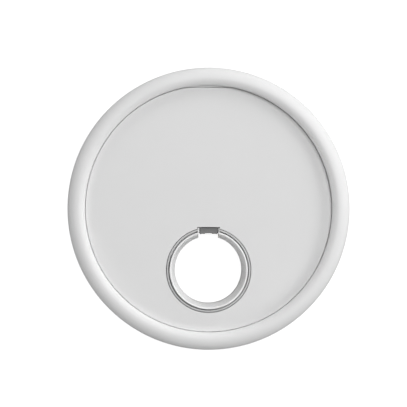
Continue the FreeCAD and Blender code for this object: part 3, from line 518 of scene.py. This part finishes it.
# %% Shape the section
GROOVE_LOW = mm(2.58)
GROOVE_HIGH = mm(3.42)
GROOVE_RADIUS = mm(18.32)
FOOT_ROUND = mm(1.7)
PARTING_HEIGHT = mm(4.4)
PARTING_HALF = mm(0.06)
PARTING_PROUD = mm(0.025)
CREST_RADIUS = mm(18.56)
FOOT_SEGMENTS = 12
CROWN_SEGMENTS = 20

ring = start_section(ring_bore, outer_radius, ring_foot, ring_crest)
round_corner(outer_radius, ring_foot, FOOT_ROUND, FOOT_SEGMENTS)
round_corner(outer_radius, ring_crest, outer_radius - CREST_RADIUS, CROWN_SEGMENTS)
round_corner(ring_bore, ring_crest, CREST_RADIUS - ring_bore, CROWN_SEGMENTS)
cut_across(height=GROOVE_LOW)
cut_across(height=GROOVE_HIGH)
cut_across(radius=GROOVE_RADIUS)
for step in (-1, 0, 1):
    cut_across(height=PARTING_HEIGHT + PARTING_HALF * step)
cut_away(lambda place: GROOVE_LOW < place.z < GROOVE_HIGH and place.x < GROOVE_RADIUS)
pick("VERT", near(outer_radius, PARTING_HEIGHT))
bpy.ops.transform.translate(value=(PARTING_PROUD, 0, 0))
bpy.ops.mesh.select_all(action="SELECT")
bpy.ops.mesh.remove_doubles(threshold=MERGE)
print("section:", len(bmesh.from_edit_mesh(ring.data).verts), "points")

# %% [markdown]
# ## Bumper ring: once round
#
# Only the outline of the section is kept, and Spin carries it once round the axis.  The last copy lands on
# the first, so the doubles are merged, and the normals are then made to point outwards.

# %% Spin the ring
RING_STEPS = 192

spin_round(RING_STEPS)
print("ring:", len(ring.data.polygons), "faces")

# %% [markdown]
# ## Bumper ring: the land along the index flat
#
# The panel has one flat on its edge, so it goes in only one way round.  The ring fills that flat with a
# small land.  A cube with its front edge eased is joined to the ring by a Boolean, which leaves one closed
# skin.

# %% Add the land
LAND_HALF_LENGTH = mm(3.2)
LAND_DEPTH = mm(0.9)
LAND_LOW = mm(4.6)
LAND_DROP = mm(0.03)
PANEL_FLAT = mm(17.17)
LAND_EASE = mm(0.03)

land_front = PANEL_FLAT + PANEL_GAP
land_top = panel_face - LAND_DROP
land = block((-LAND_HALF_LENGTH, land_front, LAND_LOW), (LAND_HALF_LENGTH, land_front + LAND_DEPTH, land_top))
bpy.ops.object.mode_set(mode="EDIT")
pick("EDGE", lambda place: abs(place.y - land_front) < CLOSE and abs(place.z - land_top) < CLOSE)
bpy.ops.mesh.bevel(offset=LAND_EASE, segments=3)
bpy.ops.object.mode_set(mode="OBJECT")
boolean_with(ring, land, "UNION")
finish_piece(ring, "soft_bumper", "bumper_white", "case")
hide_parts("bumper_ring")

# %% [markdown]
# ## Eyelet seal
#
# A thin soft lip stands round the sleeve and keeps dust out of the slot that the panel moves in.  Its
# section is an L: a foot that sits on the shell's tube, and a lip with a round top.  The L is a plane with
# one corner cut away, spun round the axis of the key hole.  A block then cuts the seal through at the key
# notch, where the two cheeks of the sleeve stand.

# %% Model the eyelet seal
SEAL_INNER = mm(5.57)
SEAL_LIP_INNER = mm(5.71)
SEAL_FOOT_TOP = mm(5.25)
SEAL_LIP_ROUND = mm(0.11)
SEAL_NOTCH = mm(1.56)
SEAL_NOTCH_REACH = mm(8)
SEAL_SEGMENTS = 6
SEAL_STEPS = 144

seal_low, seal_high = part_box("eyelet_seal")
hole_y = seal_low.y + seal_high.x
seal = start_section(SEAL_INNER, seal_high.x, seal_low.z, seal_high.z, across=hole_y)
cut_across(height=SEAL_FOOT_TOP)
cut_across(radius=SEAL_LIP_INNER)
cut_away(lambda place: place.z > SEAL_FOOT_TOP and place.x < SEAL_LIP_INNER)
round_corner(SEAL_LIP_INNER, seal_high.z, SEAL_LIP_ROUND, SEAL_SEGMENTS)
round_corner(seal_high.x, seal_high.z, SEAL_LIP_ROUND, SEAL_SEGMENTS)
spin_round(SEAL_STEPS, across=hole_y)
gap_cutter = block((-SEAL_NOTCH, hole_y, seal_low.z - BEYOND),
                   (SEAL_NOTCH, hole_y + SEAL_NOTCH_REACH, seal_high.z + BEYOND))
boolean_with(seal, gap_cutter, "DIFFERENCE")
finish_piece(seal, "soft_seal", "seal_grey", "case")
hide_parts("eyelet_seal")

# %% [markdown]
# ## Panel gasket
#
# The panel sits on a soft silicone ring that keeps water out and pushes the panel back up.  Its section is a
# low base with a round-tipped ridge, which the panel flattens.  The two top corners of a plane are moved
# together for the ridge, and rounded.

# %% Model the panel gasket
GASKET_INNER = mm(16.6)
GASKET_BASE = mm(0.25)
GASKET_TIP = mm(0.3)
GASKET_TIP_ROUND = mm(0.12)
GASKET_SEGMENTS = 5

gasket_low, gasket_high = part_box("panel_gasket")
gasket = start_section(GASKET_INNER, gasket_high.x, gasket_low.z, gasket_high.z)
cut_across(height=gasket_low.z + GASKET_BASE)
lean = (gasket_high.x - GASKET_INNER - GASKET_TIP) / 2
for side, corner in ((1, GASKET_INNER), (-1, gasket_high.x)):
    pick("VERT", near(corner, gasket_high.z))
    bpy.ops.transform.translate(value=(side * lean, 0, 0))
    round_corner(corner + side * lean, gasket_high.z, GASKET_TIP_ROUND, GASKET_SEGMENTS)
bpy.ops.mesh.select_all(action="SELECT")
bpy.ops.mesh.dissolve_faces()
spin_round(RING_STEPS)
finish_piece(gasket, "soft_gasket", "gasket_clear", "case")
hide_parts("panel_gasket")
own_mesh(gasket)

# %% [markdown]
# ## Click dome
#
# Under the panel's nub lies a thin sheet-metal dome.  Pressed, it snaps down and closes the switch, which is
# the click one feels.  A disc is inset again and again, each time a little higher, so that it follows the
# arc of the dome, and Solidify gives the sheet its thickness.

# %% Model the dome
DOME_SHEET = mm(0.06)
DOME_FLANGE = mm(0.1)
DOME_STEPS = 9
DOME_SIDES = 96
DOME_INSET = mm(0.002)


def pressed_disc(middle, radius, low, flange, rise, step_up=0.0):
    """A thin disc with a flat flange and a round dome; leaves it in object mode."""
    clear_selection()
    bpy.ops.mesh.primitive_circle_add(vertices=DOME_SIDES, radius=radius, fill_type="NGON",
                                      location=(middle.x, middle.y, low))
    disc = bpy.context.object
    place_in_mesh()
    bpy.ops.object.mode_set(mode="EDIT")
    bpy.ops.mesh.select_all(action="SELECT")
    bpy.ops.mesh.inset(thickness=flange, depth=0.0)
    if step_up > 0:
        bpy.ops.mesh.inset(thickness=step_up, depth=step_up)
    span = radius - flange - step_up
    height = 0.0
    for step in range(1, DOME_STEPS + 1):
        share = step / (DOME_STEPS + 1)
        target = rise * (1 - (1 - share) ** 2)
        bpy.ops.mesh.inset(thickness=span / (DOME_STEPS + 1), depth=target - height)
        height = target
    bpy.ops.object.mode_set(mode="OBJECT")
    return disc


def thicken(piece, thickness):
    """Give a thin sheet its thickness, upwards."""
    sheet = piece.modifiers.new("sheet", "SOLIDIFY")
    sheet.thickness = thickness
    sheet.offset = 1.0
    bpy.ops.object.modifier_apply(modifier="sheet")


dome_low, dome_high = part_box("switch_dome")
dome_middle = (dome_low + dome_high) / 2
dome = pressed_disc(dome_middle, (dome_high.x - dome_low.x) / 2 - DOME_INSET, dome_low.z, DOME_FLANGE,
                    dome_high.z - dome_low.z - DOME_SHEET)
thicken(dome, DOME_SHEET)
finish_piece(dome, "snap_dome", "dome_steel", "case")
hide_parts("switch_dome")
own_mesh(dome)
print("dome rises", round((dome_high.z - dome_low.z) * 1000, 2), "mm")

# %% [markdown]
# ## Film over the dome
#
# An amber film with glue on its underside holds the dome on the board.  It lies flat round the dome, steps
# up over the dome's foot, and follows the dome.  It is made as the dome is, with one step more.

# %% Model the film
FILM_SHEET = mm(0.04)
FILM_STEP = mm(0.10)
FILM_CLEAR = mm(0.16)

film_low, film_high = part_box("dome_film")
film_flange = (film_high.x - film_low.x) / 2 - (dome_high.x - dome_low.x) / 2 - FILM_CLEAR
film = pressed_disc(dome_middle, (film_high.x - film_low.x) / 2 - DOME_INSET, film_low.z, film_flange,
                    film_high.z - film_low.z - FILM_SHEET - FILM_STEP, step_up=FILM_STEP)
thicken(film, FILM_SHEET)
finish_piece(film, "dome_cover", "film_amber", "case")
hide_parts("dome_film")
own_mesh(film)

# %% [markdown]
# ## Foam ring under the cell
#
# A ring of black open foam holds the cell off the brass plate, so that the plate can sound.  It is a little
# barrel-shaped, because it is squeezed.  Its section is a plane with round corners, and a block cuts the
# way out for the two leads.

# %% Model the foam ring
FOAM_INNER = mm(6.0)
FOAM_ROUND = mm(0.14)
FOAM_SEGMENTS = 5
FOAM_STEPS = 120
WAY_OUT_FAR = mm(9)
WAY_OUT_NEAR = mm(5)
WAY_OUT_ROOM = mm(0.15)

foam_low, foam_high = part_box("cell_foam")
foam_y = (foam_low.y + foam_high.y) / 2
lead_low, lead_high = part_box("piezo_leads")
foam = start_section(FOAM_INNER, foam_high.x, foam_low.z, foam_high.z, across=foam_y)
for corner_x in (FOAM_INNER, foam_high.x):
    for corner_z in (foam_low.z, foam_high.z):
        round_corner(corner_x, corner_z, FOAM_ROUND, FOAM_SEGMENTS)
spin_round(FOAM_STEPS, across=foam_y)
way_out = block((-WAY_OUT_FAR, lead_low.y - WAY_OUT_ROOM, foam_low.z - BEYOND),
                (-WAY_OUT_NEAR, lead_high.y + WAY_OUT_ROOM, foam_high.z + BEYOND))
boolean_with(foam, way_out, "DIFFERENCE")
finish_piece(foam, "soft_foam", "foam_black", "case")
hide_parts("cell_foam")

# %% [markdown]
# ## Capacitors and resistors
#
# The small parts on the board are ceramic chips with a tinned cap on each end, which is where the solder
# takes.  One is modelled at a size of one by one by one: a body with eased edges, and two caps that stand a
# little proud.  Copies, each with its own mesh, are then scaled and turned into the boxes that the CAD
# chips fill, and joined, so that each kind is one piece for the bodies and one for the caps.

# %% Find the boxes of the chips
CAP_SHARE = 0.22
CAP_OVERLAP = 0.02
CHIP_WAIST = 0.46
CHIP_EASE = 0.035


def part_boxes(node):
    """The lowest and highest corner of each separate solid in a node."""
    mesh = bmesh.new()
    mesh.from_mesh(node.data)
    bmesh.ops.remove_doubles(mesh, verts=mesh.verts, dist=MERGE)
    boxes, seen = [], set()
    for start in mesh.verts:
        if start in seen:
            continue
        reach, found = [start], {start}
        while reach:
            corner = reach.pop()
            for edge in corner.link_edges:
                other = edge.other_vert(corner)
                if other not in found:
                    found.add(other)
                    reach.append(other)
        seen |= found
        places = [corner.co for corner in found]
        boxes.append((Vector(min(place[axis] for place in places) for axis in range(3)),
                      Vector(max(place[axis] for place in places) for axis in range(3))))
    mesh.free()
    return boxes


def eased(piece):
    """Ease every edge of a block."""
    bpy.ops.object.mode_set(mode="EDIT")
    bpy.ops.mesh.select_all(action="SELECT")
    bpy.ops.mesh.bevel(offset=CHIP_EASE, segments=2)
    bpy.ops.object.mode_set(mode="OBJECT")
    return piece


# %% Model one chip and copy it
def join_pieces(pieces):
    """Join pieces into the first of them."""
    clear_selection()
    for piece in pieces:
        piece.select_set(True)
    bpy.context.view_layer.objects.active = pieces[0]
    bpy.ops.object.join()
    return pieces[0]


def copy_into(model, boxes):
    """Copies of a model of size one, scaled into boxes, turned where a box is longer across."""
    copies = []
    for low, high in boxes:
        clear_selection()
        model.select_set(True)
        bpy.context.view_layer.objects.active = model
        bpy.ops.object.duplicate(linked=False)
        copy = bpy.context.object
        size = high - low
        across = size.y > size.x
        copy.scale = (size.y, size.x, size.z) if across else size
        copy.rotation_euler = (0, 0, math.pi / 2 if across else 0)
        copy.location = (low + high) / 2
        place_in_mesh()
        copies.append(copy)
    return join_pieces(copies)


neck = 0.5 - CAP_SHARE + CAP_OVERLAP
chip_body = eased(block((-neck, -CHIP_WAIST, -CHIP_WAIST), (neck, CHIP_WAIST, CHIP_WAIST)))
chip_caps = join_pieces([eased(block((-0.5, -0.5, -0.5), (CAP_SHARE - 0.5, 0.5, 0.5))),
                         eased(block((0.5 - CAP_SHARE, -0.5, -0.5), (0.5, 0.5, 0.5)))])
for node, kind, slot in (("board_capacitors", "capacitor", "capacitor_tan"),
                         ("board_resistors", "resistor", "resistor_black")):
    boxes = part_boxes(nodes[node])
    for model, share, share_slot in ((chip_body, "bodies", slot), (chip_caps, "caps", "can_metal")):
        piece = copy_into(model, boxes)
        finish_piece(piece, kind + "_" + share, share_slot, "case")
        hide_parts(node)
    print(kind, len(boxes), "of them")
bpy.data.objects.remove(chip_body)
bpy.data.objects.remove(chip_caps)

# %% [markdown]
# ## Floor
#
# A plain pale sweep for the tag to lie on.  The camera sees it as bright white, and it throws a softer
# light back at the tag than it shows.

# %% Lay the floor
FLOOR_SIZE = mm(6000)
FLOOR_DROP = mm(0.02)
FLOOR_TONE = 0.4
FLOOR_GLOW = 0.93

clear_selection()
bpy.ops.mesh.primitive_plane_add(size=FLOOR_SIZE, location=(0, 0, shell_low.z - FLOOR_DROP))
floor = bpy.context.object
floor.name = "floor"
floor_material, floor_tree, floor_shader = new_material("floor_pale", grey(FLOOR_TONE), 0.9,
                                                        Specular_IOR_Level=0.0)
ray = add_node(floor_tree, "ShaderNodeLightPath")
glow = spread(floor_tree, ray.outputs["Is Camera Ray"], 0, 1, 0.0, FLOOR_GLOW)
floor_shader.inputs["Emission Color"].default_value = (1, 1, 1, 1)
floor_tree.links.new(glow, floor_shader.inputs["Emission Strength"])
floor.data.materials.append(floor_material)
